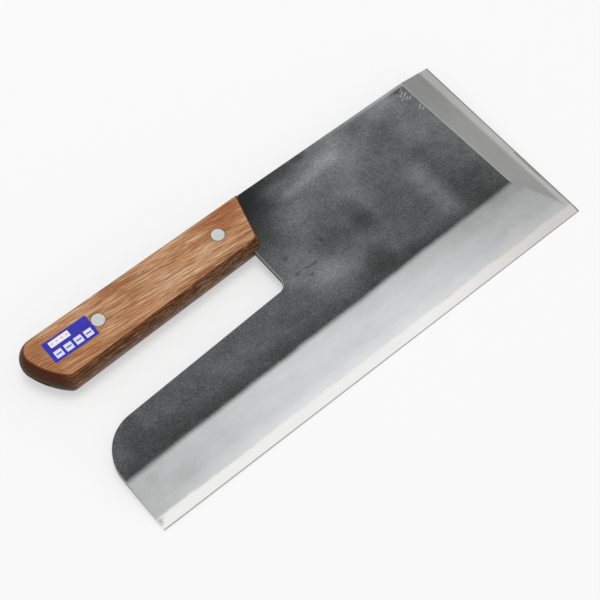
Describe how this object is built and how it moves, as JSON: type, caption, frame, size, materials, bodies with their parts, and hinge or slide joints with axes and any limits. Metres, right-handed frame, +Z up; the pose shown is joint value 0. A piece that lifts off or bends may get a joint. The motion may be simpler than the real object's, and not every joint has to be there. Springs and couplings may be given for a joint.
{
  "type": "noodle-cutting cleaver",
  "caption": "Broad rectangular single-bevel cleaver blade whose edge runs back under a riveted wooden handle, for push-cutting noodle dough, meat or other large food.",
  "frame": {"origin": "on the table that the knife lies on, under the centre of its bounding box", "axes": "+X along the cutting edge from heel to tip, +Y across the blade from the edge towards the spine, +Z up from the table. The flat back of the blade faces down, turned 4.4 degrees about X and 0.13 degrees about Y, because the knife rests on the tip of its cutting edge and on the two lower corners of the handle's underside"},
  "size_m": [0.243, 0.103, 0.0177],
  "materials": {
    "iron": "black forge scale on the face, ground bright on the bevels",
    "hard_steel": "bright, finely ground along the edge",
    "wood": "open-grained brown wood, oiled, darker on the domed sides and ends",
    "rivet": "flat, finely sanded flush with the wood",
    "label": "printed film, satin"
  },
  "bodies": {
    "root": {"soft_iron_blade_body": "iron", "hard_steel_cutting_edge": "hard_steel", "wooden_handle_block": "wood", "front_rivet_tube_half": "rivet", "front_rivet_pin_half": "rivet", "rear_rivet_tube_half": "rivet", "rear_rivet_pin_half": "rivet", "blank_label": "label"}
  },
  "joints": []
}
